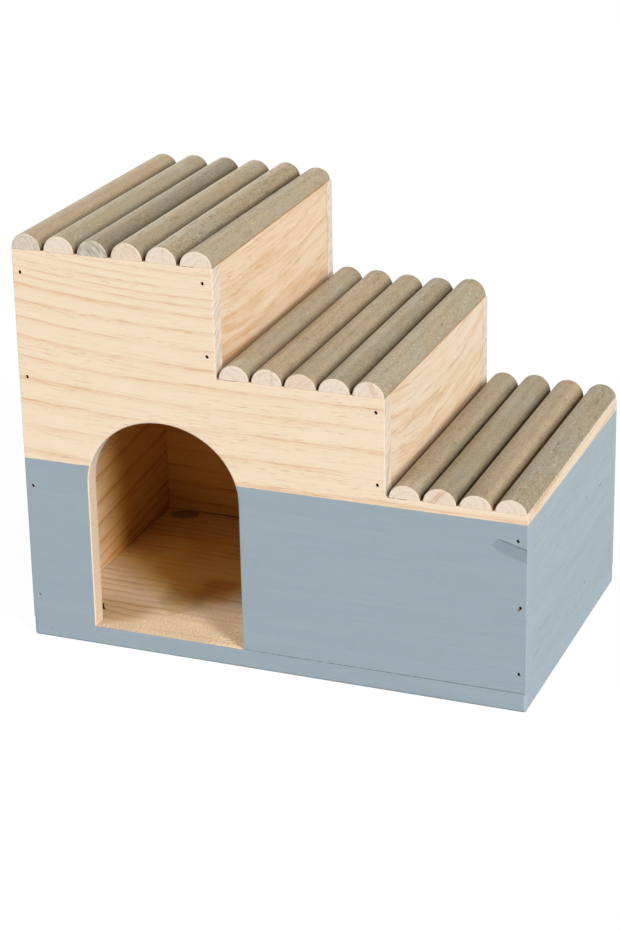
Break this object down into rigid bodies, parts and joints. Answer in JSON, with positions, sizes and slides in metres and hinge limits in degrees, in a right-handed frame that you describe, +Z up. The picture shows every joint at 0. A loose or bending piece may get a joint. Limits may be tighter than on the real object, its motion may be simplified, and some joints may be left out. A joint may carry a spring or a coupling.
{
  "type": "wooden pet house",
  "caption": "Stepped pine pet house with an arched doorway, a roof of half-round slats on flat treads, and a painted lower part.",
  "frame": {"origin": "middle of the underside, at the centre of the bounding box's bottom face", "axes": "+X along the house from the tall end to the low end, +Y from the front panel to the back panel, +Z up"},
  "size_m": [0.25, 0.151, 0.2062],
  "materials": {
    "panel_pine": "bare pine above, satin blue-grey paint below a level line",
    "wall_pine": "bare pine inside, satin blue-grey paint outside and below the line",
    "riser_pine": "bare sanded pine",
    "floor_pine": "blue-grey painted edges, bare pine top inside",
    "stained_slat": "grey-olive stain with bare ends",
    "brad_steel": "dark steel"
  },
  "bodies": {
    "root": {"back_brads": "brad_steel", "back_panel": "panel_pine", "floor_board": "floor_pine", "floor_brads": "brad_steel", "front_brads": "brad_steel", "front_panel": "panel_pine", "left_wall": "wall_pine", "lower_riser": "riser_pine", "lower_slat_1": "stained_slat", "lower_slat_2": "stained_slat", "lower_slat_3": "stained_slat", "lower_slat_4": "stained_slat", "middle_slat_1": "stained_slat", "middle_slat_2": "stained_slat", "middle_slat_3": "stained_slat", "middle_slat_4": "stained_slat", "middle_slat_5": "stained_slat", "right_wall": "wall_pine", "upper_riser": "riser_pine", "upper_slat_1": "stained_slat", "upper_slat_2": "stained_slat", "upper_slat_3": "stained_slat", "upper_slat_4": "stained_slat", "upper_slat_5": "stained_slat", "upper_slat_6": "stained_slat"}
  },
  "joints": []
}
